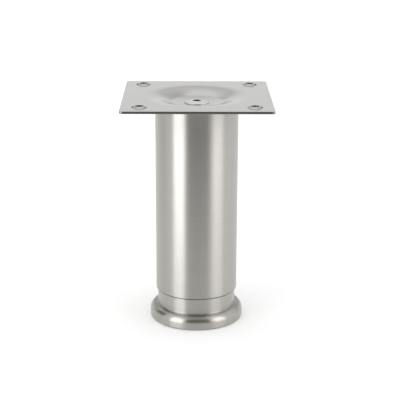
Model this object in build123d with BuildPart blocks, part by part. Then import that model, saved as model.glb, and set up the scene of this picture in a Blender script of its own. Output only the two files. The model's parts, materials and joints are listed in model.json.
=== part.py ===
from build123d import *
import math
import os

os.makedirs("parts", exist_ok=True)

# Whole leg, from the floor to the face that meets the cabinet
leg_height = 140.0

# Round tube
tube_diameter = 50.0
tube_wall = 1.0
tube_end_bevel = 0.6

# Mounting plate, pressed from one sheet
plate_side = 88.0
plate_thickness = 1.5
plate_corner_radius = 2.0
plate_edge_break = 0.2

# Dish in the middle of the plate: a soft bend down to a flat floor that sinks the screw's head below the face
dish_rim_diameter = 65.0
dish_depth = 4.1
dish_wall_angle = 26.0
dish_wall_straight = 0.4
dish_floor_bend = 2.5
dish_seat_gap = 0.05

# Fixing holes, each pressed up into a dimple and countersunk from below to take a screw's head
fixing_spacing = 66.0
fixing_hole_diameter = 5.0
fixing_sink_diameter = 7.2
fixing_sink_angle = 90.0
dimple_base_diameter = 9.2
dimple_top_diameter = 6.8
dimple_height = 0.8

# Plate screw: a low domed head with a hexagon socket
screw_diameter = 8.0
screw_length = 16.0
screw_tip_chamfer = 1.0
screw_head_diameter = 15.0
screw_head_rim = 0.8
screw_head_height = 1.3
screw_head_edge = 0.3
screw_socket_flats = 4.0
screw_socket_depth = 2.5
screw_hole_clearance = 0.25

# Ribbed plugs pressed into the tube, one under the plate and one for the adjusting bolt
plug_length = 16.0
plug_floor = 5.0
plug_skirt = 2.5
plug_hub_diameter = 20.0
plug_rib_thickness = 2.0
plug_rib_pairs = 3
plug_lead_chamfer = 0.8

# Foot: a flange with a quarter-round shoulder, and a collar that slides in the tube
flange_diameter = 57.4
flange_lip_height = 3.8
flange_edge_chamfer = 0.6
collar_clearance = 0.1
collar_reveal = 9.9
collar_length = 28.0
collar_wall = 2.4
crease_bevel = 0.4
collar_top_chamfer = 0.6
cavity_floor_thickness = 3.5
boss_diameter = 28.0
boss_roof_thickness = 4.0

# Glide pad, snapped into the foot's underside and free to turn
pad_diameter = 46.0
pad_thickness = 3.0
pad_proud = 0.4
pad_clearance = 0.3
pad_edge_chamfer = 0.4
bead_height = 0.6
bead_bottom = 1.4
bead_thickness = 0.7

# Adjusting bolt and its clamping nut
bolt_diameter = 10.0
bolt_head_flats = 17.0
bolt_head_height = 6.4
bolt_head_recess = 0.2
bolt_tip_chamfer = 1.2
bolt_hole_clearance = 0.25
bolt_overrun = 4.6
nut_height = 8.0
hexagon_clearance = 0.1
hexagon_bevel_angle = 30.0
thread_clearance = 0.05

# The foot's travel from the drawn height, and the room the collar keeps from the guide at the top of it
foot_drop = 10.5
guide_clearance = 2.0

# Radii
tube_radius = tube_diameter / 2
tube_bore_radius = tube_radius - tube_wall
collar_radius = tube_bore_radius - collar_clearance
flange_radius = flange_diameter / 2
shoulder_radius = flange_radius - collar_radius - crease_bevel
pad_radius = pad_diameter / 2
bead_radius = pad_radius + bead_height
bolt_radius = bolt_diameter / 2
screw_radius = screw_diameter / 2

# Heights above the floor, from the pad up to the plate
flange_bottom = pad_proud
lip_top = flange_bottom + flange_lip_height
crease = lip_top + shoulder_radius
collar_top = crease + collar_length
bolt_head_bottom = pad_thickness + bolt_head_recess
bolt_seat = bolt_head_bottom + bolt_head_height
boss_top = bolt_seat + boss_roof_thickness
cavity_floor = pad_thickness + cavity_floor_thickness
tube_bottom = crease + collar_reveal
guide_bottom = tube_bottom + collar_length + guide_clearance
guide_top = guide_bottom + plug_length
bolt_top = guide_top + foot_drop + bolt_overrun
plate_top = leg_height
plate_bottom = plate_top - plate_thickness
dish_top = plate_top - dish_depth
plug_top = dish_top - plate_thickness

# Dish section: the mouth's bend takes the drop that the straight wall and the floor's bend leave
dish_rim_radius = dish_rim_diameter / 2
wall_slope = math.radians(dish_wall_angle)
bent_drop = dish_depth - dish_wall_straight * math.sin(wall_slope)
dish_mouth_bend = bent_drop / (1 - math.cos(wall_slope)) - dish_floor_bend
dish_mouth_radius = dish_rim_radius - dish_mouth_bend * math.tan(wall_slope / 2)
dish_floor_radius = dish_mouth_radius - dish_depth / math.tan(wall_slope)
dish_edge_radius = dish_rim_radius + plate_thickness

# The dish's underside seats on the inner edge of the tube's top end
seat_bend = dish_mouth_bend - plate_thickness
seat_run = dish_rim_radius - tube_bore_radius
seat_height = plate_top - dish_mouth_bend + math.sqrt(seat_bend**2 - seat_run**2)
tube_top = seat_height - dish_seat_gap
tube_length = tube_top - tube_bottom

# Tube
with BuildPart() as tube:
    with BuildSketch(Plane.XY.offset(tube_bottom)):
        Circle(tube_radius)
        Circle(tube_bore_radius, mode=Mode.SUBTRACT)
    extrude(amount=tube_length)
    chamfer(tube.edges().group_by(Axis.Z)[0].sort_by(SortBy.RADIUS)[-1], tube_end_bevel)
tube.part.label = "tube"
export_step(tube.part, "parts/tube.step")

# Mounting plate: the flat sheet, then the dish and the dimples, each a section turned about its own axis
dimple_edge_radius = dimple_base_diameter / 2 + plate_thickness
fixing_hole_radius = fixing_hole_diameter / 2
fixing_sink_radius = fixing_sink_diameter / 2
fixing_sink_depth = (fixing_sink_radius - fixing_hole_radius) / math.tan(math.radians(fixing_sink_angle / 2))
with BuildPart() as mounting_plate:
    with BuildSketch(Plane.XY.offset(plate_bottom)):
        RectangleRounded(plate_side, plate_side, plate_corner_radius)
    extrude(amount=plate_thickness)
    chamfer(mounting_plate.edges().group_by(Axis.Z)[-1], plate_edge_break)
    with BuildSketch(Plane.XY.offset(plate_bottom)):
        Circle(dish_edge_radius)
        with GridLocations(fixing_spacing, fixing_spacing, 2, 2):
            Circle(dimple_edge_radius)
    extrude(amount=plate_thickness, mode=Mode.SUBTRACT)
    with BuildSketch(Plane.XZ):
        with BuildLine():
            dish_line = FilletPolyline(
                (screw_radius + screw_hole_clearance, dish_top),
                (dish_floor_radius, dish_top),
                (dish_mouth_radius, plate_top),
                (dish_edge_radius, plate_top),
                radius=[dish_floor_bend, dish_mouth_bend],
            )
            offset(dish_line, amount=plate_thickness, side=Side.RIGHT, closed=True)
        make_face()
    revolve(axis=Axis.Z)
    with BuildSketch(Plane.XZ):
        with BuildLine():
            Polyline(
                (fixing_hole_radius, plate_top + dimple_height),
                (dimple_top_diameter / 2, plate_top + dimple_height),
                (dimple_base_diameter / 2, plate_top),
                (dimple_edge_radius, plate_top),
                (dimple_edge_radius, plate_bottom),
                (fixing_sink_radius, plate_bottom),
                (fixing_hole_radius, plate_bottom + fixing_sink_depth),
                close=True,
            )
        make_face()
    dimple = revolve(axis=Axis.Z, mode=Mode.PRIVATE)
    with GridLocations(fixing_spacing, fixing_spacing, 2, 2):
        add(dimple)
mounting_plate.part.label = "mounting_plate"
export_step(mounting_plate.part, "parts/mounting_plate.step")

# Plate screw
with BuildPart() as plate_screw:
    with BuildSketch(Plane.XZ):
        with BuildLine():
            head_radius = screw_head_diameter / 2
            crown_base = head_radius - screw_head_edge
            crown_rise = screw_head_height - screw_head_rim
            crown_radius = (crown_base**2 + crown_rise**2) / (2 * crown_rise)
            Polyline(
                (0, dish_top + screw_head_height),
                (0, dish_top),
                (head_radius, dish_top),
                (head_radius, dish_top + screw_head_rim - screw_head_edge),
                (crown_base, dish_top + screw_head_rim),
            )
            RadiusArc(
                (crown_base, dish_top + screw_head_rim),
                (0, dish_top + screw_head_height),
                -crown_radius,
            )
        make_face()
    revolve(axis=Axis.Z)
    with BuildSketch(Plane.XY.offset(dish_top)):
        Circle(screw_radius)
    extrude(amount=-screw_length)
    chamfer(plate_screw.edges().group_by(Axis.Z)[0], screw_tip_chamfer)
    with BuildSketch(Plane.XY.offset(dish_top + screw_head_height)):
        RegularPolygon(screw_socket_flats / 2, 6, major_radius=False)
    extrude(amount=-screw_socket_depth, mode=Mode.SUBTRACT)
plate_screw.part.label = "plate_screw"
export_step(plate_screw.part, "parts/plate_screw.step")

# Plugs pressed into the tube: a closed floor, a skirt, and a bored hub carried on ribs
plug_seats = {
    "top_plug": (Plane(origin=(0, 0, plug_top), z_dir=(0, 0, -1)), screw_radius),
    "thread_guide": (Plane(origin=(0, 0, guide_bottom)), bolt_radius),
}
for plug_name, (seat, thread_radius) in plug_seats.items():
    with BuildPart() as plug:
        with BuildSketch(seat):
            Circle(tube_bore_radius)
        extrude(amount=plug_length)
        chamfer(plug.edges().sort_by(Axis(seat.origin, seat.z_dir))[-1], plug_lead_chamfer)
        with BuildSketch(seat.offset(plug_floor)):
            Circle(tube_bore_radius - plug_skirt)
            Circle(plug_hub_diameter / 2, mode=Mode.SUBTRACT)
            with PolarLocations(0, plug_rib_pairs, angular_range=180):
                Rectangle(2 * tube_bore_radius, plug_rib_thickness, mode=Mode.SUBTRACT)
        extrude(amount=plug_length - plug_floor, mode=Mode.SUBTRACT)
        with BuildSketch(seat):
            Circle(thread_radius + thread_clearance)
        extrude(amount=plug_length, mode=Mode.SUBTRACT)
    plug.part.label = plug_name
    export_step(plug.part, f"parts/{plug_name}.step")

# Foot
with BuildPart() as foot:
    with BuildSketch(Plane.XZ):
        with BuildLine():
            CenterArc((collar_radius + crease_bevel, lip_top), shoulder_radius, 0, 90)
            Polyline(
                (collar_radius + crease_bevel, crease),
                (collar_radius, crease + crease_bevel),
                (collar_radius, collar_top),
                (0, collar_top),
                (0, flange_bottom),
                (flange_radius, flange_bottom),
                (flange_radius, lip_top),
            )
        make_face()
    revolve(axis=Axis.Z)
    chamfer(foot.edges().group_by(Axis.Z)[-1], collar_top_chamfer)
    chamfer(foot.edges().group_by(Axis.Z)[0], flange_edge_chamfer)
    with BuildSketch(Plane.XZ):
        with BuildLine():
            Polyline(
                (0, collar_top),
                (0, boss_top),
                (boss_diameter / 2, boss_top),
                (boss_diameter / 2, cavity_floor),
                (collar_radius - collar_wall, cavity_floor),
                (collar_radius - collar_wall, collar_top),
                close=True,
            )
        make_face()
    revolve(axis=Axis.Z, mode=Mode.SUBTRACT)
    with BuildSketch(Plane.XY):
        Circle(pad_radius + pad_clearance)
    extrude(amount=pad_thickness, mode=Mode.SUBTRACT)
    with BuildSketch(Plane.XY.offset(bead_bottom - pad_clearance)):
        Circle(bead_radius + pad_clearance)
    extrude(amount=bead_thickness + 2 * pad_clearance, mode=Mode.SUBTRACT)
    with BuildSketch(Plane.XY.offset(pad_thickness)):
        RegularPolygon(bolt_head_flats / 2 + hexagon_clearance, 6, major_radius=False)
    extrude(amount=bolt_seat - pad_thickness, mode=Mode.SUBTRACT)
    with BuildSketch(Plane.XY.offset(bolt_seat)):
        Circle(bolt_radius + bolt_hole_clearance)
    extrude(amount=boss_roof_thickness, mode=Mode.SUBTRACT)
foot.part.label = "foot"
export_step(foot.part, "parts/foot.step")

# Glide pad
with BuildPart() as glide_pad:
    with BuildSketch(Plane.XY):
        Circle(pad_radius)
    extrude(amount=pad_thickness)
    chamfer(glide_pad.edges().group_by(Axis.Z)[0], pad_edge_chamfer)
    with BuildSketch(Plane.XY.offset(bead_bottom)):
        Circle(bead_radius)
    extrude(amount=bead_thickness)
glide_pad.part.label = "glide_pad"
export_step(glide_pad.part, "parts/glide_pad.step")

# Hexagons of the bolt's head and the nut, with their corners bevelled at the outer faces
hexagon_corner = bolt_head_flats / 2 / math.cos(math.radians(30))
hexagon_bevel = (hexagon_corner - bolt_head_flats / 2) * math.tan(math.radians(hexagon_bevel_angle))

# Adjusting bolt, head down in the foot's pocket
with BuildPart() as adjusting_bolt:
    with BuildSketch(Plane.XY.offset(bolt_head_bottom)):
        RegularPolygon(bolt_head_flats / 2, 6, major_radius=False)
    extrude(amount=bolt_head_height)
    with BuildSketch(Plane.XZ):
        with BuildLine():
            Polyline(
                (0, bolt_head_bottom),
                (bolt_head_flats / 2, bolt_head_bottom),
                (hexagon_corner, bolt_head_bottom + hexagon_bevel),
                (hexagon_corner, bolt_seat),
                (0, bolt_seat),
                close=True,
            )
        make_face()
    revolve(axis=Axis.Z, mode=Mode.INTERSECT)
    with BuildSketch(Plane.XY.offset(bolt_seat)):
        Circle(bolt_radius)
    extrude(amount=bolt_top - bolt_seat)
    chamfer(adjusting_bolt.edges().group_by(Axis.Z)[-1], bolt_tip_chamfer)
adjusting_bolt.part.label = "adjusting_bolt"
export_step(adjusting_bolt.part, "parts/adjusting_bolt.step")

# Nut that clamps the bolt to the foot
nut_top = boss_top + nut_height
with BuildPart() as bolt_nut:
    with BuildSketch(Plane.XY.offset(boss_top)):
        RegularPolygon(bolt_head_flats / 2, 6, major_radius=False)
        Circle(bolt_radius + thread_clearance, mode=Mode.SUBTRACT)
    extrude(amount=nut_height)
    with BuildSketch(Plane.XZ):
        with BuildLine():
            Polyline(
                (0, boss_top),
                (bolt_head_flats / 2, boss_top),
                (hexagon_corner, boss_top + hexagon_bevel),
                (hexagon_corner, nut_top - hexagon_bevel),
                (bolt_head_flats / 2, nut_top),
                (0, nut_top),
                close=True,
            )
        make_face()
    revolve(axis=Axis.Z, mode=Mode.INTERSECT)
bolt_nut.part.label = "bolt_nut"
export_step(bolt_nut.part, "parts/bolt_nut.step")

print(f"overall height {plate_top:.1f} mm, bolt length under the head {bolt_top - bolt_seat:.1f} mm")
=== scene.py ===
# %% [markdown]
# # A brushed steel cabinet leg
#
# The object is a short furniture leg: a pressed plate that screws under a cabinet, a round brushed
# tube, and a turned foot that telescopes out of the tube when it is twisted. This lesson dresses the
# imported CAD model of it. Almost every piece is a solid of revolution, so most of the meshes come from
# one Geometry Nodes tree that works like a lathe, and most of the looks come from metal finishes that
# remember how they were made.

# %% Load the frame
import json
import math

import bmesh
import bpy
from mathutils import Euler, Matrix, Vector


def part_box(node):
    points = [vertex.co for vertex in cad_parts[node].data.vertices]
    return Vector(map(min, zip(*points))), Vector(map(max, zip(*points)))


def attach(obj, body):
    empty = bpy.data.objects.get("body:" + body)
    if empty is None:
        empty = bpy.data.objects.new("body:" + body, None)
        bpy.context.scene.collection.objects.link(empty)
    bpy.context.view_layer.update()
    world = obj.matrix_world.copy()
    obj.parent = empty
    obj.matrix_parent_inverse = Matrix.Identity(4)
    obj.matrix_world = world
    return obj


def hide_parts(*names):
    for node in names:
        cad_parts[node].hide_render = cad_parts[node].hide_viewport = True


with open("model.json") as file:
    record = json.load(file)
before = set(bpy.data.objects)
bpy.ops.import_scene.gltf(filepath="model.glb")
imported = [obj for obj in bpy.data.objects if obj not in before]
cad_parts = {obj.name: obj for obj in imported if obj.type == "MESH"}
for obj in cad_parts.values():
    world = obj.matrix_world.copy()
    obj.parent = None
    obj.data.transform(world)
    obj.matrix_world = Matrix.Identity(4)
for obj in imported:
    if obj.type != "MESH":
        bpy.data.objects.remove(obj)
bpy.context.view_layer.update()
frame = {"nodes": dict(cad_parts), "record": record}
bpy.context.scene.view_settings.view_transform = "Standard"
print("CAD nodes:", sorted(frame["nodes"]))

# %% [markdown]
# ## Sizes
#
# Every size that the CAD boxes can tell is read from them, so the looks follow the model when it
# changes. The rest, such as a wall or a bend that no box shows, is written once, here or beside its
# piece. Blender counts in metres, so a size in millimetres is written times MM.

# %% Sizes from the frame
MM = 0.001
TUBE_WALL = 1.0 * MM
SHEET = 1.5 * MM
tube_low, tube_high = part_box("tube")
plate_low, plate_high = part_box("mounting_plate")
tube_radius = tube_high.x
tube_bore_radius = tube_radius - TUBE_WALL
plate_side = plate_high.x - plate_low.x
mounts = {mount["name"]: mount for mount in frame["record"]["mounts"]}
sheet_top = mounts["plate_face"]["pos_m"][2]
sheet_bottom = sheet_top - SHEET
dish_top = plate_low.z + SHEET
print(f"tube {2 * tube_radius / MM:.1f} mm across, plate {plate_side / MM:.1f} mm wide")

# %% [markdown]
# ## Helpers for node trees
#
# A node tree in a script is a list of nodes and the wires between them. One helper adds a node, sets
# its properties and fills its inputs, either with a value or with another node's output. It serves
# geometry trees and material trees alike, which keeps the trees below short enough to read from top
# to bottom.

# %% Node helpers
def put(tree, kind, inputs=None, **settings):
    """Adds a node: settings are its properties, inputs are values or the outputs wired to it."""
    made = tree.nodes.new(kind)
    for name, value in settings.items():
        setattr(made, name, value)
    for key, value in (inputs or {}).items():
        if isinstance(value, bpy.types.NodeSocket):
            tree.links.new(value, made.inputs[key])
        else:
            made.inputs[key].default_value = value
    return made


def sums(tree, operation, *values):
    """One Math node; gives its output."""
    return put(tree, "ShaderNodeMath", dict(enumerate(values)), operation=operation).outputs[0]


def geometry_tree(name, inputs):
    """An empty Geometry Nodes tree with named inputs; gives it and the outputs of its input node."""
    tree = bpy.data.node_groups.new(name, "GeometryNodeTree")
    for socket_name, kind in inputs.items():
        tree.interface.new_socket(socket_name, in_out="INPUT", socket_type="NodeSocket" + kind)
    tree.interface.new_socket("Geometry", in_out="OUTPUT", socket_type="NodeSocketGeometry")
    return tree, tree.nodes.new("NodeGroupInput").outputs


print("node helpers:", put.__name__, sums.__name__, geometry_tree.__name__)

# %% [markdown]
# ## From corners to a rounded outline
#
# A turned piece is drawn as half of its section: a few corners, each with the radius of its bend. On
# the bench that is the drawing a lathe follows. The corners are a mesh of bare edges with a `bend`
# value on each point; the tree turns the edges into a curve and lets Fillet Curve round every corner
# by its own bend. Writing the arcs out as points would work too, but then a radius could no longer be
# changed by one number.

# %% Tree for a rounded outline
outline_tree, given = geometry_tree("rounded_outline", {"Outline": "Geometry", "Bend Steps": "Int"})
bend = put(outline_tree, "GeometryNodeInputNamedAttribute", {"Name": "bend"}, data_type="FLOAT")
line = put(outline_tree, "GeometryNodeMeshToCurve", {"Mesh": given["Outline"]})
rounded = put(
    outline_tree,
    "GeometryNodeFilletCurve",
    {
        "Curve": line.outputs["Curve"],
        "Count": given["Bend Steps"],
        "Radius": bend.outputs["Attribute"],
        "Limit Radius": True,
    },
    mode="POLY",
)
laid_flat = put(
    outline_tree,
    "GeometryNodeTransform",
    {"Geometry": rounded.outputs["Curve"], "Rotation": Euler((math.radians(90), 0, 0))},
)
put(outline_tree, "NodeGroupOutput", {"Geometry": laid_flat.outputs["Geometry"]})
print("outline tree:", len(outline_tree.nodes), "nodes")

# %% [markdown]
# ## The lathe
#
# Curve to Mesh sweeps the outline round a circle, as a lathe turns a bar under its tool. The Screw
# modifier would turn it too, but a tree can also be used inside another tree, as the plate does
# further down. The circle is small, and the outline is moved in by the same amount, so the radii come
# out as drawn.

# %% Tree for a turned piece
RAIL_RADIUS = 10 * MM
turned_tree, given = geometry_tree(
    "turned_piece",
    {"Outline": "Geometry", "Segments": "Int", "Bend Steps": "Int", "Finish": "Material"},
)
section = put(
    turned_tree,
    "GeometryNodeGroup",
    {"Outline": given["Outline"], "Bend Steps": given["Bend Steps"]},
    node_tree=outline_tree,
)
moved_in = put(
    turned_tree,
    "GeometryNodeTransform",
    {"Geometry": section.outputs["Geometry"], "Translation": (-RAIL_RADIUS, 0, 0)},
)
rail = put(
    turned_tree,
    "GeometryNodeCurvePrimitiveCircle",
    {"Resolution": given["Segments"], "Radius": RAIL_RADIUS},
    mode="RADIUS",
)
swept = put(
    turned_tree,
    "GeometryNodeCurveToMesh",
    {"Curve": rail.outputs["Curve"], "Profile Curve": moved_in.outputs["Geometry"]},
)
print("lathe tree, up to the sweep:", len(turned_tree.nodes), "nodes")

# %% [markdown]
# ## Hexagons on the lathe
#
# Some stretches are hexagons instead of rounds: a key's socket, the pocket for a bolt's head. A
# Boolean could cut them, but it leaves ragged triangles round the cut. Here their points carry a
# `hexagon` value of 1, and Set Position pulls them in from the circle to the flats after the sweep.
# The tree then ends as every tree here does: it welds the seams, makes all instances real, because an
# export drops them, and sets the material.

# %% Hexagons and the end of the tree
HALF_SIDE = math.radians(30)
WELD = 0.0001 * MM


def end_tree(tree, geometry, weld, finish):
    """Welds the seams, shades smoothly, makes instances real and sets the material."""
    welded = put(tree, "GeometryNodeMergeByDistance", {"Geometry": geometry, "Distance": weld})
    smooth = put(tree, "GeometryNodeSetShadeSmooth", {"Geometry": welded.outputs[0]})
    real = put(tree, "GeometryNodeRealizeInstances", {"Geometry": smooth.outputs[0]})
    dressed = put(tree, "GeometryNodeSetMaterial", {"Geometry": real.outputs[0], "Material": finish})
    put(tree, "NodeGroupOutput", {"Geometry": dressed.outputs[0]})


spot = put(turned_tree, "GeometryNodeInputPosition").outputs[0]
place = put(turned_tree, "ShaderNodeSeparateXYZ", {0: spot}).outputs
angle = sums(turned_tree, "ARCTAN2", place["Y"], place["X"])
past_corner = sums(turned_tree, "PINGPONG", angle, HALF_SIDE)
to_flat = sums(turned_tree, "COSINE", sums(turned_tree, "SUBTRACT", HALF_SIDE, past_corner))
flat_share = sums(turned_tree, "DIVIDE", math.cos(HALF_SIDE), to_flat)
pulled_in = sums(turned_tree, "SUBTRACT", flat_share, 1.0)
hexagon = put(turned_tree, "GeometryNodeInputNamedAttribute", {"Name": "hexagon"}, data_type="FLOAT")
pull = sums(turned_tree, "MULTIPLY", pulled_in, hexagon.outputs["Attribute"])
shift = put(
    turned_tree,
    "ShaderNodeCombineXYZ",
    {axis: sums(turned_tree, "MULTIPLY", place[axis], pull) for axis in "XY"},
)
shaped = put(
    turned_tree,
    "GeometryNodeSetPosition",
    {"Geometry": swept.outputs["Mesh"], "Offset": shift.outputs[0]},
)
end_tree(turned_tree, shaped.outputs["Geometry"], WELD, given["Finish"])
print("lathe tree:", len(turned_tree.nodes), "nodes")

# %% [markdown]
# ## Drawing an outline
#
# The trees need something to work on. An outline is drawn as a mesh of loose edges, and each of its
# points carries what the trees ask for: its bend, whether it belongs to a hexagon, and the number of
# its line, for the plate, which is drawn with three lines at once. A curve object could be drawn
# instead, but its points can't carry values of their own as easily.

# %% Outline helpers
def corner(radius, height, bend=0.0, hexagon=0.0):
    """One corner of an outline: its distance from the axis, its height and its bend, all in metres."""
    return radius, height, bend, hexagon


def draw_outline(name, *lines):
    """A mesh of bare edges; each line is its corners and whether it closes, and its number is kept."""
    points = [point for corners, closed in lines for point in corners]
    edges = []
    line_numbers = []
    for number, (corners, closed) in enumerate(lines):
        first = len(line_numbers)
        last = first + len(corners) - 1
        edges += [(i, i + 1) for i in range(first, last)]
        edges += [(last, first)] if closed else []
        line_numbers += [float(number)] * len(corners)
    mesh = bpy.data.meshes.new(name)
    mesh.from_pydata([(radius, 0, height) for radius, height, *rest in points], edges, [])
    columns = {
        "bend": [point[2] for point in points],
        "hexagon": [point[3] for point in points],
        "line": line_numbers,
    }
    for attribute, column in columns.items():
        mesh.attributes.new(attribute, "FLOAT", "POINT").data.foreach_set("value", column)
    return mesh


print("outline helpers:", corner.__name__, draw_outline.__name__)

# %% [markdown]
# ## Running a tree
#
# A tree only makes something when it sits on an object as a modifier. The next helper hangs a tree on
# an outline and keeps the result as a plain mesh: the object that is left has no modifier and sits at
# the origin, unturned, with its place in its mesh. Edges that turn by more than a set angle are
# marked sharp, so that a fillet shades smoothly and a cut edge stays crisp. It also counts the edges
# that don't join two faces, since a closed piece has none. The last helper hands a finished piece
# over: the piece moves with its body and stands in for its CAD node.

# %% Modifier helpers
SHARP_ANGLE = math.radians(30)


def run_tree(name, outline, tree, **inputs):
    """Hangs the tree on the outline, and keeps what it makes as a plain mesh object."""
    maker = bpy.data.objects.new(name + "_outline", outline)
    bpy.context.scene.collection.objects.link(maker)
    modifier = maker.modifiers.new("make", "NODES")
    modifier.node_group = tree
    sockets = {s.name: s.identifier for s in tree.interface.items_tree if s.in_out == "INPUT"}
    for key, value in inputs.items():
        modifier[sockets[key.replace("_", " ")]] = value
    evaluated = maker.evaluated_get(bpy.context.evaluated_depsgraph_get())
    mesh = bpy.data.meshes.new_from_object(evaluated)
    bpy.data.objects.remove(maker)
    tidy = bmesh.new()
    tidy.from_mesh(mesh)
    bmesh.ops.remove_doubles(tidy, verts=tidy.verts, dist=WELD)
    bmesh.ops.dissolve_degenerate(tidy, edges=tidy.edges, dist=WELD)
    bmesh.ops.recalc_face_normals(tidy, faces=tidy.faces)
    open_edges = sum(1 for edge in tidy.edges if len(edge.link_faces) != 2)
    tidy.to_mesh(mesh)
    tidy.free()
    mesh.set_sharp_from_angle(angle=SHARP_ANGLE)
    mesh.name = name
    piece = bpy.data.objects.new(name, mesh)
    bpy.context.scene.collection.objects.link(piece)
    print(f"{name}: {len(mesh.polygons)} faces, {open_edges} open edges")
    return piece


def fit(piece, node, body, slot):
    """Puts a finished piece in the place of its CAD node."""
    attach(piece, body)
    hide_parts(node)


print("modifier helpers:", run_tree.__name__, fit.__name__)

# %% [markdown]
# ## What all finishes share
#
# Every finish here is a Principled shader with noise behind its colour, its roughness and its bump. A
# noise node stays near the middle of its range, so its usual values are spread over the range that a
# finish asks for. A single flat colour would be quicker, but real metal and plastic are never even
# when seen close.

# %% Finish helpers
NOISE_LOW = 0.25
NOISE_HIGH = 0.75


def new_material(name):
    """A metal without a finish yet; gives the material, its tree and its Principled shader."""
    material = bpy.data.materials.new(name)
    material.use_nodes = True
    shader = material.node_tree.nodes["Principled BSDF"]
    shader.inputs["Metallic"].default_value = 1.0
    return material, material.node_tree, shader


def spread(tree, value, low, high):
    """Maps the usual values of a noise to a range."""
    return put(
        tree,
        "ShaderNodeMapRange",
        {"Value": value, "From Min": NOISE_LOW, "From Max": NOISE_HIGH, "To Min": low, "To Max": high},
    ).outputs["Result"]


def tint_and_roughen(tree, shader, tone, dark, light, grip, smooth, rough):
    """One noise chooses between the dark and the light colour, and one between smooth and rough."""
    share = spread(tree, tone, 0.0, 1.0)
    colour = put(tree, "ShaderNodeMix", {0: share, 6: (*dark, 1), 7: (*light, 1)}, data_type="RGBA")
    tree.links.new(colour.outputs[2], shader.inputs["Base Color"])
    tree.links.new(spread(tree, grip, smooth, rough), shader.inputs["Roughness"])


def emboss(tree, shader, height, strength, depth):
    """Bump: where the noise is high, the surface stands out."""
    bump = put(tree, "ShaderNodeBump", {"Height": height, "Strength": strength, "Distance": depth})
    tree.links.new(bump.outputs[0], shader.inputs["Normal"])


helpers = (new_material, spread, tint_and_roughen, emboss)
print("finish helpers:", [helper.__name__ for helper in helpers])

# %% [markdown]
# ## Finishes that remember the lathe
#
# Brushed and turned steel shine in a streak across the tool's lines, because each line is a tiny
# groove that scatters light sideways. Two things give that look. The lines themselves are noise that
# is stretched along the way the piece turned: it changes slowly round the axis and quickly along the
# outline, so the height minus the radius is its third coordinate. The streak is the shader's
# anisotropy, with the tangent laid along the outline by a Tangent node and a quarter turn of
# rotation.

# %% Turned and brushed metal
FINE_WANDER = 40.0
BROAD_WANDER = 25.0
BROAD_PITCHES = 9
FINE_SHARE = 0.6
LINE_DETAIL = 3.0
QUARTER_TURN = 0.25
GROOVE_DEPTH = 0.01 * MM


def place_on_lathe(tree):
    """The place on the piece as X, Y and Z, and its distance from the leg's axis."""
    spot = put(tree, "ShaderNodeTexCoord").outputs["Object"]
    xyz = put(tree, "ShaderNodeSeparateXYZ", {0: spot}).outputs
    squares = [sums(tree, "POWER", xyz[axis], 2.0) for axis in "XY"]
    return xyz, sums(tree, "SQRT", sums(tree, "ADD", *squares))


def turned_lines(tree, pitch, wander):
    """Noise in rings round Z: one line about every pitch, wandering slowly round the piece."""
    xyz, radius = place_on_lathe(tree)
    rings = put(
        tree,
        "ShaderNodeCombineXYZ",
        {
            "X": sums(tree, "MULTIPLY", xyz["X"], wander),
            "Y": sums(tree, "MULTIPLY", xyz["Y"], wander),
            "Z": sums(tree, "DIVIDE", sums(tree, "SUBTRACT", xyz["Z"], radius), pitch),
        },
    )
    noise = {"Vector": rings.outputs[0], "Scale": 1.0, "Detail": LINE_DETAIL}
    return put(tree, "ShaderNodeTexNoise", noise).outputs["Fac"]


def blended(tree, first, second, share):
    """Two noises added, the first by its share and the second by the rest."""
    parts = [sums(tree, "MULTIPLY", first, share), sums(tree, "MULTIPLY", second, 1.0 - share)]
    return sums(tree, "ADD", *parts)


def turned_metal(name, dark, light, smooth, rough, anisotropy, pitch, groove):
    """Metal with lines round its axis, for the tube and the turned pieces."""
    material, tree, shader = new_material(name)
    fine = turned_lines(tree, pitch, FINE_WANDER)
    broad = turned_lines(tree, BROAD_PITCHES * pitch, BROAD_WANDER)
    both = blended(tree, fine, broad, FINE_SHARE)
    tint_and_roughen(tree, shader, both, dark, light, both, smooth, rough)
    shader.inputs["Anisotropic"].default_value = anisotropy
    shader.inputs["Anisotropic Rotation"].default_value = QUARTER_TURN
    tangent = put(tree, "ShaderNodeTangent", direction_type="RADIAL", axis="Z")
    tree.links.new(tangent.outputs[0], shader.inputs["Tangent"])
    emboss(tree, shader, fine, groove, GROOVE_DEPTH)
    return material


brushed_tube = turned_metal(
    "brushed_tube",
    dark=(0.445, 0.432, 0.402),
    light=(0.498, 0.484, 0.450),
    smooth=0.36,
    rough=0.42,
    anisotropy=0.93,
    pitch=0.16 * MM,
    groove=0.25,
)
turned_foot = turned_metal(
    "turned_foot",
    dark=(0.405, 0.393, 0.364),
    light=(0.467, 0.454, 0.421),
    smooth=0.27,
    rough=0.33,
    anisotropy=0.91,
    pitch=0.28 * MM,
    groove=0.2,
)
print("turned finishes:", brushed_tube.name, turned_foot.name)

# %% [markdown]
# ## The plate's satin sheet and the plated fasteners
#
# The plate is pressed from rolled sheet. Its grain is straight and very faint, and its shine is soft
# in every direction, so it needs no streak: the grain is noise stretched along X, over a slow cloud
# that keeps the large flat from looking printed. The screw, bolt and nut are zinc plated: brighter,
# with a fine even mottle.

# %% Sheet and plated steel
FINE_DETAIL = 2.0
CLOUD_DETAIL = 3.0


def grain(tree, scale, detail):
    """Noise in object space, stretched by the three scales, in repeats a metre."""
    spot = put(tree, "ShaderNodeTexCoord").outputs["Object"]
    stretched = put(tree, "ShaderNodeMapping", {"Vector": spot, "Scale": scale})
    noise = {"Vector": stretched.outputs[0], "Scale": 1.0, "Detail": detail}
    return put(tree, "ShaderNodeTexNoise", noise).outputs["Fac"]


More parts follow.
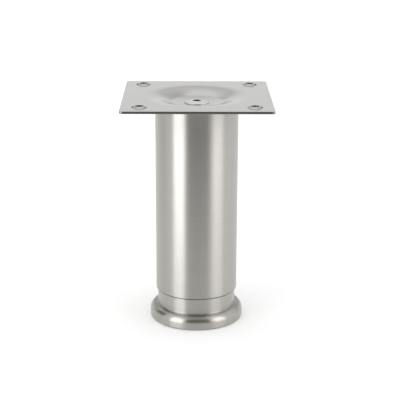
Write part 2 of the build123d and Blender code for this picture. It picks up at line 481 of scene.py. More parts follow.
def satin_metal(name, dark, light, smooth, rough, lines, clouds, groove):
    """Metal with a straight or even grain, for the sheet and the plated fasteners."""
    material, tree, shader = new_material(name)
    fine = grain(tree, lines, FINE_DETAIL)
    both = blended(tree, fine, grain(tree, clouds, CLOUD_DETAIL), share=0.5)
    tint_and_roughen(tree, shader, both, dark, light, both, smooth, rough)
    emboss(tree, shader, fine, groove, GROOVE_DEPTH)
    return material


def zinc_plate(name):
    """Bright plating with a fine mottle."""
    return satin_metal(
        name,
        dark=(0.68, 0.68, 0.672),
        light=(0.76, 0.76, 0.75),
        smooth=0.46,
        rough=0.54,
        lines=(3000, 3000, 3000),
        clouds=(300, 300, 300),
        groove=0.15,
    )


pressed_plate = satin_metal(
    "pressed_plate",
    dark=(0.55, 0.544, 0.536),
    light=(0.59, 0.583, 0.575),
    smooth=0.13,
    rough=0.17,
    lines=(300, 6000, 6000),
    clouds=(60, 60, 60),
    groove=0.15,
)
plated_steel = zinc_plate("plated_steel")
plated_screw = zinc_plate("plated_screw")
print("satin finishes:", pressed_plate.name, plated_steel.name, plated_screw.name)

# %% [markdown]
# ## Cut faces and painted shade
#
# Where a tool has been, steel looks different: the shears leave a dull grey edge on the sheet. Shade
# is painted into the colour the same way: the steep flanks of the dimples and the walls of the holes
# are painted darker, the tube's downward-facing end is painted nearly black as the shade it lies in,
# and the screw's socket is painted dark, because hardly any light comes back out of it. Each could be
# a material of its own on its own faces. Here the material finds those faces by itself: by how
# steeply the surface stands, or by its distance from the axis.

# %% Cut faces and painted shade
def normal_rise(material):
    """How far the surface faces up: 1 on top, 0 on an upright wall, -1 underneath."""
    tree = material.node_tree
    normal = put(tree, "ShaderNodeNewGeometry").outputs["Normal"]
    return put(tree, "ShaderNodeSeparateXYZ", {0: normal}).outputs["Z"]


def cut_face_and_painted_shade(material, measure, whole, cut, colour, rough):
    """Mixes in a second colour and roughness, used for cut faces and for painted shade: none of it
    where the measure is at whole, all of it where it is at cut.
    """
    tree = material.node_tree
    shader = tree.nodes["Principled BSDF"]
    span = {"Value": measure, "From Min": whole, "From Max": cut}
    share = put(tree, "ShaderNodeMapRange", span).outputs["Result"]
    whole_colour = shader.inputs["Base Color"].links[0].from_socket
    mixed = put(tree, "ShaderNodeMix", {0: share, 6: whole_colour, 7: (*colour, 1)}, data_type="RGBA")
    tree.links.new(mixed.outputs[2], shader.inputs["Base Color"])
    whole_rough = shader.inputs["Roughness"].links[0].from_socket
    mixed = put(tree, "ShaderNodeMix", {0: share, 2: whole_rough, 3: rough}, data_type="FLOAT")
    tree.links.new(mixed.outputs[0], shader.inputs["Roughness"])


sheet_rise = sums(pressed_plate.node_tree, "ABSOLUTE", normal_rise(pressed_plate))
# Painted shade: faces steeper than about 30 degrees, chiefly the dimples' flanks, are painted a darker
# grey.
cut_face_and_painted_shade(pressed_plate, sheet_rise, whole=0.90, cut=0.84, colour=(0.36, 0.355, 0.35), rough=0.2)
# Upright faces, the sheared edge and the walls of the holes, get a dark grey: partly the sheared
# steel's duller finish, partly painted shade that makes the holes look dark.
cut_face_and_painted_shade(pressed_plate, sheet_rise, whole=0.60, cut=0.35, colour=(0.22, 0.218, 0.205), rough=0.35)
tube_rise = normal_rise(brushed_tube)
# Painted shade: faces that look downward, the sawn end and the lower half of the rounded edge, are
# painted nearly black; this draws the dark line between tube and collar.
cut_face_and_painted_shade(brushed_tube, tube_rise, whole=-0.03, cut=-0.22, colour=(0.05, 0.048, 0.045), rough=0.3)
from_axis = place_on_lathe(plated_screw.node_tree)[1]
# Painted shade: the socket's walls and floor, nearer the axis than 2.35 mm, are painted near black.
cut_face_and_painted_shade(
    plated_screw, from_axis, whole=2.60 * MM, cut=2.35 * MM, colour=(0.15, 0.15, 0.147), rough=0.5
)
print("cut faces on:", pressed_plate.name, brushed_tube.name, plated_screw.name)

# %% [markdown]
# ## Moulded plastic
#
# The plugs in the tube and the glide pad under the foot are moulded. Moulded plastic is matt, with a
# pebbled skin a few tenths of a millimetre across, which a little bump and a change of roughness
# give. Real pebbles in the mesh would cost a great many faces for something that is seen only from
# below.

# %% Plastic
PEBBLES = (2600, 2600, 2600)
PEBBLE_DEPTH = 0.02 * MM
PEBBLE_STRENGTH = 0.3
BLOTCHES = (180, 180, 180)


def moulded_plastic(name, dark, light, smooth, rough):
    """Matt plastic with a pebbled skin."""
    material, tree, shader = new_material(name)
    shader.inputs["Metallic"].default_value = 0.0
    pebbles = grain(tree, PEBBLES, FINE_DETAIL)
    blotches = grain(tree, BLOTCHES, CLOUD_DETAIL)
    tint_and_roughen(tree, shader, blotches, dark, light, pebbles, smooth, rough)
    emboss(tree, shader, pebbles, PEBBLE_STRENGTH, PEBBLE_DEPTH)
    return material


plug_plastic = moulded_plastic(
    "plug_plastic", dark=(0.030, 0.030, 0.032), light=(0.045, 0.045, 0.047), smooth=0.45, rough=0.6
)
pad_plastic = moulded_plastic(
    "pad_plastic", dark=(0.022, 0.022, 0.024), light=(0.034, 0.034, 0.036), smooth=0.5, rough=0.65
)
print("plastics:", plug_plastic.name, pad_plastic.name)

# %% [markdown]
# ## The tube
#
# A length of round tube, cut square. Its section is a long thin rectangle. The upper end is hidden
# under the plate, so only its burr is broken; the lower end is rounded over on the outside. The thin
# dark line between tube and collar is painted shade: the downward-facing half of the rounded edge is
# painted nearly black, as the sawn end is.

# %% Tube
ROUND_SEGMENTS = 192
BEND_STEPS = 12
BURR_BREAK = 0.1 * MM
END_ROUNDING = 0.8 * MM
tube_section = [
    corner(tube_bore_radius, tube_low.z, BURR_BREAK),
    corner(tube_radius, tube_low.z, END_ROUNDING),
    corner(tube_radius, tube_high.z, BURR_BREAK),
    corner(tube_bore_radius, tube_high.z),
]
tube = run_tree(
    "brushed_leg_tube",
    draw_outline("tube_section", (tube_section, True)),
    turned_tree,
    Segments=ROUND_SEGMENTS,
    Bend_Steps=BEND_STEPS,
    Finish=brushed_tube,
)
fit(tube, "tube", "leg", "brushed_tube")

# %% [markdown]
# ## The foot
#
# The foot is turned from one piece: a collar that slides in the tube, a quarter-round shoulder, and a
# flange. Inside the collar it is hollow, with a boss for the adjusting bolt, and the bolt's head sits
# in a hexagonal pocket under it. The whole section is one closed outline, drawn from the collar's top
# down the outside and back up the inside. The crease where collar and shoulder meet has a small bend
# of its own, because no tool cuts a perfectly sharp inner corner.

# %% Sizes of the foot
COLLAR_LENGTH = 28 * MM
COLLAR_PLAY = 0.1 * MM
COLLAR_WALL = 2.4 * MM
SHOULDER_BEND = 4.4 * MM
CREASE_BEND = 0.4 * MM
TOOL_BEND = 0.5 * MM
FLANGE_ROUNDING = 0.6 * MM
MOUTH_ROUNDING = 0.3 * MM
BEAD_PLAY = 0.3 * MM
GROOVE_LOW = 1.1 * MM
GROOVE_HIGH = 2.4 * MM
HEAD_FLATS = 17 * MM
POCKET_PLAY = 0.1 * MM
BOLT_HOLE_RADIUS = 5.25 * MM
BOSS_RADIUS = 14 * MM
BOSS_WEB = 4 * MM
FLANGE_WEB = 3.5 * MM
foot_low, foot_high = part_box("foot")
pad_low, pad_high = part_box("glide_pad")
boss_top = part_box("bolt_nut")[0].z
bolt_seat = boss_top - BOSS_WEB
cavity_floor = pad_high.z + FLANGE_WEB
crease = foot_high.z - COLLAR_LENGTH
collar_radius = tube_bore_radius - COLLAR_PLAY
cavity_radius = collar_radius - COLLAR_WALL
recess_radius = pad_high.x - BEAD_PLAY
groove_radius = pad_high.x + BEAD_PLAY
pocket_corner = (HEAD_FLATS / 2 + POCKET_PLAY) / math.cos(HALF_SIDE)
print(f"collar {2 * collar_radius / MM:.1f} mm across, flange {2 * foot_high.x / MM:.1f} mm across")

# %% Foot
foot_section = [
    corner(collar_radius, foot_high.z, TOOL_BEND),
    corner(collar_radius, crease, CREASE_BEND),
    corner(foot_high.x, crease, SHOULDER_BEND),
    corner(foot_high.x, foot_low.z, FLANGE_ROUNDING),
    corner(recess_radius, foot_low.z, BURR_BREAK),
    corner(recess_radius, pad_low.z + GROOVE_LOW),
    corner(groove_radius, pad_low.z + GROOVE_LOW),
    corner(groove_radius, pad_low.z + GROOVE_HIGH),
    corner(recess_radius, pad_low.z + GROOVE_HIGH),
    corner(recess_radius, pad_high.z),
    corner(pocket_corner, pad_high.z, hexagon=1.0),
    corner(pocket_corner, bolt_seat, hexagon=1.0),
    corner(BOLT_HOLE_RADIUS, bolt_seat),
    corner(BOLT_HOLE_RADIUS, boss_top),
    corner(BOSS_RADIUS, boss_top, TOOL_BEND),
    corner(BOSS_RADIUS, cavity_floor, TOOL_BEND),
    corner(cavity_radius, cavity_floor, TOOL_BEND),
    corner(cavity_radius, foot_high.z, MOUTH_ROUNDING),
]
foot = run_tree(
    "turned_foot_collar",
    draw_outline("foot_section", (foot_section, True)),
    turned_tree,
    Segments=ROUND_SEGMENTS,
    Bend_Steps=BEND_STEPS,
    Finish=turned_foot,
)
fit(foot, "foot", "foot", "turned_foot")

# %% [markdown]
# ## The glide pad
#
# A plastic disc snapped into the foot's underside. The bead round its edge clicks into a groove in
# the foot and lets the foot turn while the pad stays still on the floor. Its outline starts and ends
# on the axis, so the lathe closes it without a hole in the middle.

# %% Glide pad
BEAD_HEIGHT = 0.6 * MM
BEAD_LOW = 1.4 * MM
BEAD_HIGH = 2.1 * MM
BEAD_ROUNDING = 0.2 * MM
SOLE_ROUNDING = 0.4 * MM
pad_radius = pad_high.x - BEAD_HEIGHT
pad_section = [
    corner(0, pad_high.z),
    corner(pad_radius, pad_high.z, BEAD_ROUNDING),
    corner(pad_radius, pad_low.z + BEAD_HIGH),
    corner(pad_high.x, pad_low.z + BEAD_HIGH, BEAD_ROUNDING),
    corner(pad_high.x, pad_low.z + BEAD_LOW, BEAD_ROUNDING),
    corner(pad_radius, pad_low.z + BEAD_LOW),
    corner(pad_radius, pad_low.z, SOLE_ROUNDING),
    corner(0, pad_low.z),
]
pad = run_tree(
    "moulded_glide_pad",
    draw_outline("pad_section", (pad_section, False)),
    turned_tree,
    Segments=ROUND_SEGMENTS,
    Bend_Steps=BEND_STEPS,
    Finish=pad_plastic,
)
fit(pad, "glide_pad", "glide", "pad_plastic")

# %% [markdown]
# ## The plate screw
#
# A low domed head with a hexagon socket, sunk in the plate's dish. The dome is part of a large ball,
# so its corners come from the ball's formula; the socket's corners carry the hexagon value.

# %% Dome of the plate screw
DOME_STEPS = 10
HEAD_RIM = 0.45 * MM
SOCKET_FLATS = 4 * MM
SOCKET_LEAD = 0.25 * MM
screw_low, screw_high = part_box("plate_screw")
head_radius = screw_high.x
head_rim = dish_top + HEAD_RIM
crown_rise = screw_high.z - head_rim
crown_radius = (head_radius**2 + crown_rise**2) / (2 * crown_rise)
socket_corner = SOCKET_FLATS / 2 / math.cos(HALF_SIDE)
socket_mouth = socket_corner + SOCKET_LEAD
dome_radii = [socket_mouth + (head_radius - socket_mouth) * k / DOME_STEPS for k in range(DOME_STEPS)]


def crown(radius):
    """Height of the domed head at a radius."""
    return head_rim + crown_rise - crown_radius + math.sqrt(crown_radius**2 - radius**2)


print(f"screw head {2 * head_radius / MM:.1f} mm across, domed to a {crown_radius / MM:.0f} mm radius")

# %% Plate screw
SCREW_SEGMENTS = 96
SCREW_BEND_STEPS = 6
SOCKET_DEPTH = 2.5 * MM
SOCKET_CHAMFER = 0.2 * MM
DRILL_POINT = 0.5 * MM
RIM_ROUNDING = 0.15 * MM
SHANK_RADIUS = 4 * MM
TIP_CHAMFER = 1 * MM
socket_floor = screw_high.z - SOCKET_DEPTH
screw_section = [
    corner(0, socket_floor - DRILL_POINT),
    corner(socket_corner, socket_floor, hexagon=1.0),
    corner(socket_corner, crown(socket_corner) - SOCKET_CHAMFER, hexagon=1.0),
    *[corner(radius, crown(radius)) for radius in dome_radii],
    corner(head_radius, head_rim, RIM_ROUNDING),
    corner(head_radius, dish_top, BURR_BREAK),
    corner(SHANK_RADIUS, dish_top),
    corner(SHANK_RADIUS, screw_low.z + TIP_CHAMFER),
    corner(SHANK_RADIUS - TIP_CHAMFER, screw_low.z),
    corner(0, screw_low.z),
]
screw = run_tree(
    "domed_plate_screw",
    draw_outline("screw_section", (screw_section, False)),
    turned_tree,
    Segments=SCREW_SEGMENTS,
    Bend_Steps=SCREW_BEND_STEPS,
    Finish=plated_screw,
)
fit(screw, "plate_screw", "leg", "plated_steel")

# %% [markdown]
# ## The pressed plate
#
# One sheet holds three kinds of form: a rim that follows a rounded square, a dish turned about the
# middle, and four dimples turned about the fixing holes. Each has its own outline, and all three are
# drawn in one mesh, so the tree first has to pick a line by its number.

# %% Tree for the plate
plate_tree, given = geometry_tree(
    "pressed_sheet",
    {
        "Outlines": "Geometry",
        "Side": "Float",
        "Corner Radius": "Float",
        "Hole Spacing": "Float",
        "Upper Face": "Float",
        "Lower Face": "Float",
        "Finish": "Material",
    },
)


def equal(value, other, epsilon=0.5):
    """Whether two numbers lie within epsilon; a half is enough to tell whole numbers apart."""
    sides = {0: value, 1: other}
    made = put(plate_tree, "FunctionNodeCompare", sides, data_type="FLOAT", operation="EQUAL")
    made.inputs["Epsilon"].default_value = epsilon
    return made.outputs[0]


def picked_line(number):
    """The outline with that number, of those drawn in the base mesh."""
    numbers = put(plate_tree, "GeometryNodeInputNamedAttribute", {"Name": "line"}, data_type="FLOAT")
    chosen = equal(numbers.outputs["Attribute"], float(number))
    split = put(
        plate_tree,
        "GeometryNodeSeparateGeometry",
        {"Geometry": given["Outlines"], "Selection": chosen},
        domain="POINT",
    )
    return split.outputs["Selection"]


print("plate tree's inputs:", [socket.name for socket in given if socket.name])

# %% [markdown]
# ## Rim, dish and dimples
#
# The tree sweeps the rim's outline round the square, runs the lathe for the dish and for one dimple,
# and puts the dimple on the four points of a grid. Copies made by hand would do for four holes, but
# the grid keeps them on one spacing that a single input sets.

# %% Forms in the plate
CORNER_STEPS = 10
RIM_BEND_STEPS = 4
DIMPLE_SEGMENTS = 60
DIMPLE_BEND_STEPS = 6
square = put(
    plate_tree,
    "GeometryNodeCurvePrimitiveQuadrilateral",
    {"Width": given["Side"], "Height": given["Side"]},
    mode="RECTANGLE",
)
square = put(
    plate_tree,
    "GeometryNodeFilletCurve",
    {
        "Curve": square.outputs[0],
        "Count": CORNER_STEPS,
        "Radius": given["Corner Radius"],
        "Limit Radius": True,
    },
    mode="POLY",
)
rim_line = put(
    plate_tree,
    "GeometryNodeGroup",
    {"Outline": picked_line(0), "Bend Steps": RIM_BEND_STEPS},
    node_tree=outline_tree,
)
rim = put(
    plate_tree,
    "GeometryNodeCurveToMesh",
    {"Curve": square.outputs["Curve"], "Profile Curve": rim_line.outputs["Geometry"]},
)
dish = put(
    plate_tree,
    "GeometryNodeGroup",
    {"Outline": picked_line(1), "Segments": ROUND_SEGMENTS, "Bend Steps": BEND_STEPS},
    node_tree=turned_tree,
)
dimple = put(
    plate_tree,
    "GeometryNodeGroup",
    {"Outline": picked_line(2), "Segments": DIMPLE_SEGMENTS, "Bend Steps": DIMPLE_BEND_STEPS},
    node_tree=turned_tree,
)
holes = put(
    plate_tree,
    "GeometryNodeMeshGrid",
    {
        "Size X": given["Hole Spacing"],
        "Size Y": given["Hole Spacing"],
        "Vertices X": 2,
        "Vertices Y": 2,
    },
)
dimples = put(
    plate_tree,
    "GeometryNodeInstanceOnPoints",
    {"Points": holes.outputs["Mesh"], "Instance": dimple.outputs["Geometry"]},
)
dimples = put(plate_tree, "GeometryNodeRealizeInstances", {"Geometry": dimples.outputs["Instances"]})
forms = put(plate_tree, "GeometryNodeJoinGeometry")
for part in (rim.outputs["Mesh"], dish.outputs["Geometry"], dimples.outputs["Geometry"]):
    plate_tree.links.new(part, forms.inputs[0])
print("plate tree, up to its forms:", len(plate_tree.nodes), "nodes")

# %% [markdown]
# ## The flat between the forms
#
# What is left open is the flat sheet between rim, dish and dimples. The open edges at the upper face
# become curves, and Fill Curve closes them; then the same again at the lower face. A flat square with
# holes cut by a Boolean would look alike, but this flat shares every point with the forms it joins,
# so the weld leaves no gap.

# %% Flat faces of the plate
LEVEL_PLAY = 0.01 * MM
PLATE_WELD = 0.0005 * MM


def filled_face(height):
    """The flat between the open edges that lie at a height."""
    spot = put(plate_tree, "GeometryNodeInputPosition").outputs[0]
    level = put(plate_tree, "ShaderNodeSeparateXYZ", {0: spot}).outputs["Z"]
    at_height = equal(level, height, LEVEL_PLAY)
    unjoined = equal(put(plate_tree, "GeometryNodeInputMeshEdgeNeighbors").outputs[0], 1.0)
    open_here = put(plate_tree, "FunctionNodeBooleanMath", {0: at_height, 1: unjoined}, operation="AND")
    loops = put(
        plate_tree,
        "GeometryNodeMeshToCurve",
        {"Mesh": forms.outputs[0], "Selection": open_here.outputs[0]},
    )
    flat = put(plate_tree, "GeometryNodeFillCurve", {"Curve": loops.outputs[0]}, mode="TRIANGLES")
    lift = put(plate_tree, "ShaderNodeCombineXYZ", {"Z": height})
    lifted = put(
        plate_tree,
        "GeometryNodeTransform",
        {"Geometry": flat.outputs[0], "Translation": lift.outputs[0]},
    )
    return lifted.outputs[0]


sheet = put(plate_tree, "GeometryNodeJoinGeometry")
for part in (forms.outputs[0], filled_face(given["Upper Face"]), filled_face(given["Lower Face"])):
    plate_tree.links.new(part, sheet.inputs[0])
end_tree(plate_tree, sheet.outputs[0], PLATE_WELD, given["Finish"])
print("plate tree:", len(plate_tree.nodes), "nodes")

# %% [markdown]
# ## The dish
#
# The dish falls from the flat in one easy bend, runs down a straight wall and turns on to a floor
# that still falls a little, as a shallow cone, to the flat seat round the screw. Its underside is the
# same line, one sheet lower: at each corner it lies along the line that halves the angle between the
# two slopes, and its bends are wider or tighter by the sheet's thickness. Solidify could thicken a
# single sheet, but would leave the hole's edge and the rim to be mended.

# %% Outline of the dish
DISH_RIM_RADIUS = 32.5 * MM
WALL_ANGLE = math.radians(23)
FLOOR_RADIUS = 16 * MM
FLOOR_RISE = 0.5 * MM
FLOOR_BEND = 5.0 * MM
SEAT_MARGIN = 0.4 * MM
SEAT_BEND = 8.0 * MM
SHANK_PLAY = 0.25 * MM
floor_edge = dish_top + FLOOR_RISE
seat_radius = head_radius + SEAT_MARGIN
floor_angle = math.atan2(FLOOR_RISE, FLOOR_RADIUS - seat_radius)
mouth_radius = FLOOR_RADIUS + (sheet_top - floor_edge) / math.tan(WALL_ANGLE)
mouth_bend = (DISH_RIM_RADIUS - mouth_radius) / math.tan(WALL_ANGLE / 2)
dish_edge = DISH_RIM_RADIUS + SHEET
screw_hole_radius = SHANK_RADIUS + SHANK_PLAY


def under(radius, height, bend, outer_angle, inner_angle):
    """The corner of the sheet's lower face below one of its upper face, between two slopes."""
    slope = (outer_angle + inner_angle) / 2
    reach = SHEET / math.cos((outer_angle - inner_angle) / 2)
    return corner(radius + reach * math.sin(slope), height - reach * math.cos(slope), bend)


dish_section = [
    corner(dish_edge, sheet_top),
    corner(mouth_radius, sheet_top, mouth_bend),
    corner(FLOOR_RADIUS, floor_edge, FLOOR_BEND),
    corner(seat_radius, dish_top, SEAT_BEND),
    corner(screw_hole_radius, dish_top, BURR_BREAK),
    corner(screw_hole_radius, plate_low.z, BURR_BREAK),
    under(seat_radius, dish_top, SEAT_BEND + SHEET, floor_angle, 0.0),
    under(FLOOR_RADIUS, floor_edge, FLOOR_BEND + SHEET, WALL_ANGLE, floor_angle),
    under(mouth_radius, sheet_top, mouth_bend - SHEET, 0.0, WALL_ANGLE),
    corner(dish_edge, sheet_bottom),
]
print(f"dish {2 * DISH_RIM_RADIUS / MM:.0f} mm across, its mouth bent by {mouth_bend / MM:.1f} mm")

# %% [markdown]
# ## Rim and dimples
#
# The rim's outline is measured from the plate's edge and needs only the sheared edge with its two
# broken corners. A dimple rises round each hole, and from below the hole is opened to seat a screw's
# head. With these two and the dish, the plate can be made.

# %% Plate
EDGE_BREAK = 0.2 * MM
RIM_REACH = 1.0 * MM
PLATE_CORNER = 2 * MM
HOLE_SPACING = 66 * MM
HOLE_RADIUS = 2.5 * MM
SINK_RADIUS = 3.6 * MM
SINK_DEPTH = 1.1 * MM
DIMPLE_BASE = 4.6 * MM
DIMPLE_TOP = 3.4 * MM
DIMPLE_BASE_BEND = 0.3 * MM
DIMPLE_TOP_BEND = 0.25 * MM
dimple_edge = DIMPLE_BASE + SHEET
rim_section = [
    corner(-RIM_REACH, sheet_top),
    corner(0, sheet_top, EDGE_BREAK),
    corner(0, sheet_bottom, EDGE_BREAK),
    corner(-RIM_REACH, sheet_bottom),
]
dimple_section = [
    corner(dimple_edge, sheet_top),
    corner(DIMPLE_BASE, sheet_top, DIMPLE_BASE_BEND),
    corner(DIMPLE_TOP, plate_high.z, DIMPLE_TOP_BEND),
    corner(HOLE_RADIUS, plate_high.z, BURR_BREAK),
    corner(HOLE_RADIUS, sheet_bottom + SINK_DEPTH),
    corner(SINK_RADIUS, sheet_bottom, BURR_BREAK),
    corner(dimple_edge, sheet_bottom),
]
plate_lines = [(rim_section, False), (dish_section, False), (dimple_section, False)]
plate = run_tree(
    "pressed_mounting_plate",
    draw_outline("plate_sections", *plate_lines),
    plate_tree,
    Side=plate_side,
    Corner_Radius=PLATE_CORNER,
    Hole_Spacing=HOLE_SPACING,
    Upper_Face=sheet_top,
    Lower_Face=sheet_bottom,
    Finish=pressed_plate,
)
fit(plate, "mounting_plate", "leg", "pressed_plate")

# %% [markdown]
# ## The pieces inside
#
# The plugs, the adjusting bolt and its nut are out of sight in the tube. Their CAD shapes are right
# as they are, so they stay and only get their finishes.

# %% Finishes of the inner pieces
inner_finishes = {
    "top_plug": plug_plastic,
    "thread_guide": plug_plastic,
    "adjusting_bolt": plated_steel,
    "bolt_nut": plated_steel,
}
for node, finish in inner_finishes.items():
    slots = frame["nodes"][node].data.materials
    slots.clear()
    slots.append(finish)
print("inner pieces dressed:", ", ".join(inner_finishes))

# %% [markdown]
# ## The camera
#
# The camera stands a little to the right, looks down on the leg and has a long lens, as a product
# photographer would choose to keep the tube's sides nearly parallel. It is written as a distance, a
# height and a pitch, and turned a touch about the leg's own axis.

# %% Camera
LENS = 102.3
SENSOR_WIDTH = 36.0
NEAREST = 10 * MM
CAMERA_RIGHT = 2.11 * MM
CAMERA_DISTANCE = 666.8 * MM
CAMERA_HEIGHT = 280.7 * MM
CAMERA_PITCH = math.radians(17.17)
CAMERA_ROLL = math.radians(0.24)
LEG_TURN = math.radians(0.54)
camera_data = bpy.data.cameras.new("camera")
camera_data.lens = LENS
camera_data.sensor_width = SENSOR_WIDTH
camera_data.clip_start = NEAREST
camera = bpy.data.objects.new("camera", camera_data)
bpy.context.scene.collection.objects.link(camera)
about_leg = Matrix.Rotation(-LEG_TURN, 4, "Z")
stand = Matrix.Translation((CAMERA_RIGHT, -CAMERA_DISTANCE, CAMERA_HEIGHT))
tilt = Matrix.Rotation(math.radians(90) - CAMERA_PITCH, 4, "X")
roll = Matrix.Rotation(CAMERA_ROLL, 4, "Z")
camera.matrix_world = about_leg @ stand @ tilt @ roll
bpy.context.scene.camera = camera
print("camera at", [round(value, 4) for value in camera.matrix_world.translation])

# %% [markdown]
# ## The table
#
# The leg stands on a white table. It is ordinary matt paint, which keeps the soft shadow round the
# foot, with a little glow of its own for the camera and for the metal that mirrors it, so that it
# melts into the white room. Seen from below it is clear, so the underside of the leg can be looked at
# too. The table isn't part of the object, but it rides on the glide pad's body: when the foot is
# screwed in or out, the table stays under it.

# %% Table
TABLE_SIZE = 6.0
TABLE_BACK = 2.65
TABLE_LIFT = 0.05 * MM
TABLE_PAINT = (0.9, 0.9, 0.9, 1)
TABLE_GLOW = 0.08


def seen(tree):
    """1 for rays that look at a surface: from the camera, a mirror or through glass."""
    path = put(tree, "ShaderNodeLightPath").outputs
    mirrored = sums(tree, "MAXIMUM", path["Is Glossy Ray"], path["Is Transmission Ray"])
    return sums(tree, "MAXIMUM", path["Is Camera Ray"], mirrored)


def bare_material(name):
    """A material whose shader is still to be built; gives it and its tree."""
    material = bpy.data.materials.new(name)
    material.use_nodes = True
    tree = material.node_tree
    tree.nodes.remove(tree.nodes["Principled BSDF"])
    return material, tree


def card(name, width, height, paint):
    """A flat rectangle in the XY plane, facing up, in its paint."""
    x, y = width / 2, height / 2
    mesh = bpy.data.meshes.new(name)
    mesh.from_pydata([(-x, -y, 0), (x, -y, 0), (x, y, 0), (-x, y, 0)], [], [(0, 1, 2, 3)])
    mesh.materials.append(paint)
    made = bpy.data.objects.new(name, mesh)
    bpy.context.scene.collection.objects.link(made)
    return made


table_white, tree = bare_material("table_white")
glow = put(tree, "ShaderNodeEmission", {"Strength": sums(tree, "MULTIPLY", seen(tree), TABLE_GLOW)})
paint = put(tree, "ShaderNodeBsdfDiffuse", {"Color": TABLE_PAINT})
both = put(tree, "ShaderNodeAddShader", {0: glow.outputs[0], 1: paint.outputs[0]})
clear = put(tree, "ShaderNodeBsdfTransparent")
from_below = put(tree, "ShaderNodeNewGeometry").outputs["Backfacing"]
one_sided = put(tree, "ShaderNodeMixShader", {0: from_below, 1: both.outputs[0], 2: clear.outputs[0]})
tree.links.new(one_sided.outputs[0], tree.nodes["Material Output"].inputs["Surface"])
table = card("table", TABLE_SIZE, TABLE_SIZE, table_white)
table.location = (0, TABLE_BACK, TABLE_LIFT)
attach(table, "glide")
print(f"table {TABLE_SIZE:.0f} m square, riding with the glide pad")

# %% [markdown]
# ## The room
#
# The room is white to look at, in a mirror too, and sheds its light evenly on everything matt. Light
# Path tells the two apart, so the background can be pure white without more light falling on the leg.

# %% Room
ROOM_LIGHT = 1.09
ROOM_WHITE = 1.0
world = bpy.data.worlds.new("white_room")
world.use_nodes = True
bpy.context.scene.world = world
tree = world.node_tree
light = put(tree, "ShaderNodeBackground", {"Color": (1, 1, 1, 1), "Strength": ROOM_LIGHT})
white = put(tree, "ShaderNodeBackground", {"Color": (1, 1, 1, 1), "Strength": ROOM_WHITE})
room = put(tree, "ShaderNodeMixShader", {0: seen(tree), 1: light.outputs[0], 2: white.outputs[0]})
tree.links.new(room.outputs[0], tree.nodes["World Output"].inputs["Surface"])
print(f"room: white {ROOM_WHITE}, light {ROOM_LIGHT}")

# %% [markdown]
# ## Soft boxes
#
# Metal is lit by what it mirrors. Soft boxes stand left and right of the camera and draw the two
# bright bands down the tube and the two bright spots on the foot's shoulder; the left one is two
# boxes, one above the other, a touch cooler than the rest. Each box is two lights in one place, one
# that only mirrors see and one that lights only what is matt. A single lamp would be simpler, but
# then a bright band in the metal would also mean a bright patch on the table.

# %% Soft boxes
COOL = (0.98, 1.0, 1.03)
NEUTRAL = (1, 1, 1)
TOP_BACK = 0.1
TOP_HEIGHT = 1.2


def aim(azimuth, distance, height):
    """A place round the leg, facing it: azimuth is from the camera's side, positive to the right."""
    turn = Matrix.Rotation(math.radians(azimuth), 4, "Z")
    stand = Matrix.Translation((0, -distance, height))
    face = Matrix.Rotation(math.radians(-90), 4, "X")
    return turn @ stand @ face


def area_light(name, place, width, height, radiance, tint):
    """An area light of a given radiance, which the camera doesn't see."""
    data = bpy.data.lights.new(name, "AREA")
    data.shape = "RECTANGLE"
    data.size = width
    data.size_y = height
    data.energy = radiance * math.pi * width * height
    data.color = tint
    lamp = bpy.data.objects.new(name, data)
    bpy.context.scene.collection.objects.link(lamp)
    lamp.matrix_world = place @ Matrix.Rotation(math.pi, 4, "X")
    lamp.visible_camera = False
    return lamp


def soft_box(name, place, width, height, mirrored, shed, tint=NEUTRAL):
    """A soft box as two lights: one that metal mirrors, and one for all that is matt."""
    area_light(name + "_mirrored", place, width, height, mirrored, tint).visible_diffuse = False
    area_light(name + "_shed", place, width, height, shed, NEUTRAL).visible_glossy = False


left_low = aim(azimuth=-50.0, distance=1.8, height=0.05)
left_high = aim(azimuth=-50.0, distance=1.8, height=1.20)
right = aim(azimuth=60.5, distance=1.8, height=0.90)
over_leg = Matrix.Translation((0, TOP_BACK, TOP_HEIGHT)) @ Matrix.Rotation(math.pi, 4, "X")
soft_box("left_soft_box", left_low, width=1.04, height=0.5, mirrored=6.7, shed=1.7, tint=COOL)
soft_box("left_upper_soft_box", left_high, width=1.04, height=0.7, mirrored=3.4, shed=2.6, tint=COOL)
soft_box("right_soft_box", right, width=1.00, height=2.4, mirrored=1.72, shed=1.0)
soft_box("top_soft_box", over_leg, width=0.8, height=0.8, mirrored=0.4, shed=0.4)

# %% [markdown]
# ## Cards
#
# What is dark in the metal is a dark card. One in front, between the soft boxes, draws the dark band
# down the middle of the tube. One on the left makes the dark spot on the foot's shoulder. Two that
# lean outwards behind the leg darken the sides of the dimples, and one high up, which fades towards
# its edge, shades a wall of the dish. A wide graded card behind is what the flat plate mirrors. Only
# mirrors see the cards: they are hidden from the camera, from shadows and from diffuse light.

# %% Card helper
def plain(grey):
    """The levels of a card that is one grey all over."""
    return [(0.0, grey), (1.0, grey)]


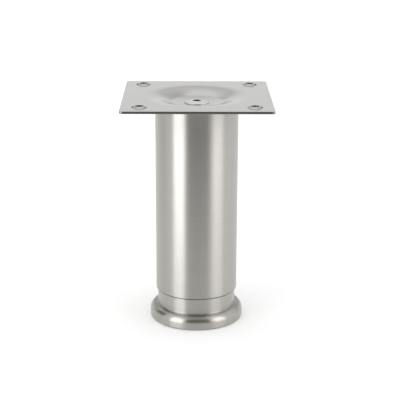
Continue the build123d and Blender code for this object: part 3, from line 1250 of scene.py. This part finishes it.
def mirror_card(name, place, width, height, levels, fades=False):
    """A grey card that only mirrors see; levels are (share of the height from the bottom, grey).
    A card that fades is an oval that turns clear towards its edge."""
    paint, tree = bare_material(name)
    spot = put(tree, "ShaderNodeTexCoord").outputs["Object"]
    xyz = put(tree, "ShaderNodeSeparateXYZ", {0: spot}).outputs
    rise = sums(tree, "SUBTRACT", 0.5, sums(tree, "DIVIDE", xyz["Y"], height))
    grade = put(tree, "ShaderNodeValToRGB", {"Fac": rise})
    stops = grade.color_ramp.elements
    for share, _ in levels[2:]:
        stops.new(share)
    for stop, (share, grey) in zip(stops, sorted(levels)):
        stop.position = share
        stop.color = (grey, grey, grey, 1)
    glow = put(tree, "ShaderNodeEmission", {"Color": grade.outputs["Color"], "Strength": 1.0})
    shown = glow.outputs[0]
    if fades:
        across = sums(tree, "POWER", sums(tree, "DIVIDE", xyz["X"], width / 2), 2.0)
        up = sums(tree, "POWER", sums(tree, "DIVIDE", xyz["Y"], height / 2), 2.0)
        inside = sums(tree, "SUBTRACT", 1.0, sums(tree, "ADD", across, up))
        strength = sums(tree, "MAXIMUM", 0.0, inside)
        clear = put(tree, "ShaderNodeBsdfTransparent")
        faded = put(tree, "ShaderNodeMixShader", {0: strength, 1: clear.outputs[0], 2: shown})
        shown = faded.outputs[0]
    tree.links.new(shown, tree.nodes["Material Output"].inputs["Surface"])
    made = card(name, width, height, paint)
    made.matrix_world = place
    made.visible_camera = False
    made.visible_diffuse = False
    made.visible_shadow = False


print("card helper:", mirror_card.__name__)

# %% Cards
FRONT_LEVELS = [(0.0, 0.05), (0.30, 0.05), (0.42, 0.50), (1.0, 0.60)]
BACK_CARD_WIDTH = 6.0
BACK_CARD_HEIGHT = 1.9
BACK_GREYS = {0.00: 0.86, 0.46: 0.86, 0.60: 0.84, 0.75: 0.66, 0.95: 0.72, 1.20: 0.82, 1.60: 1.00}
LEAN = math.radians(34)
front = aim(azimuth=4, distance=0.45, height=0.72)
left = aim(azimuth=-111, distance=1.0, height=0.64)
left_back = aim(azimuth=199.5, distance=1.4, height=0.48) @ Matrix.Rotation(LEAN, 4, "Z")
right_back = aim(azimuth=160.5, distance=1.4, height=0.48) @ Matrix.Rotation(-LEAN, 4, "Z")
right_upper = aim(azimuth=161, distance=1.4, height=1.35)
back = aim(azimuth=180, distance=1.5, height=BACK_CARD_HEIGHT / 2)
back_levels = [(height / BACK_CARD_HEIGHT, grey) for height, grey in BACK_GREYS.items()]
mirror_card("front_dark_card", front, width=0.54, height=1.80, levels=FRONT_LEVELS)
mirror_card("left_dark_card", left, width=0.60, height=0.80, levels=plain(0.03))
mirror_card("left_back_dark_card", left_back, width=0.17, height=0.84, levels=plain(0.12))
mirror_card("right_back_dark_card", right_back, width=0.17, height=0.84, levels=plain(0.12))
mirror_card(
    "right_upper_dark_card", right_upper, width=0.90, height=1.30, levels=plain(0.60), fades=True
)
mirror_card("back_card", back, BACK_CARD_WIDTH, BACK_CARD_HEIGHT, back_levels)
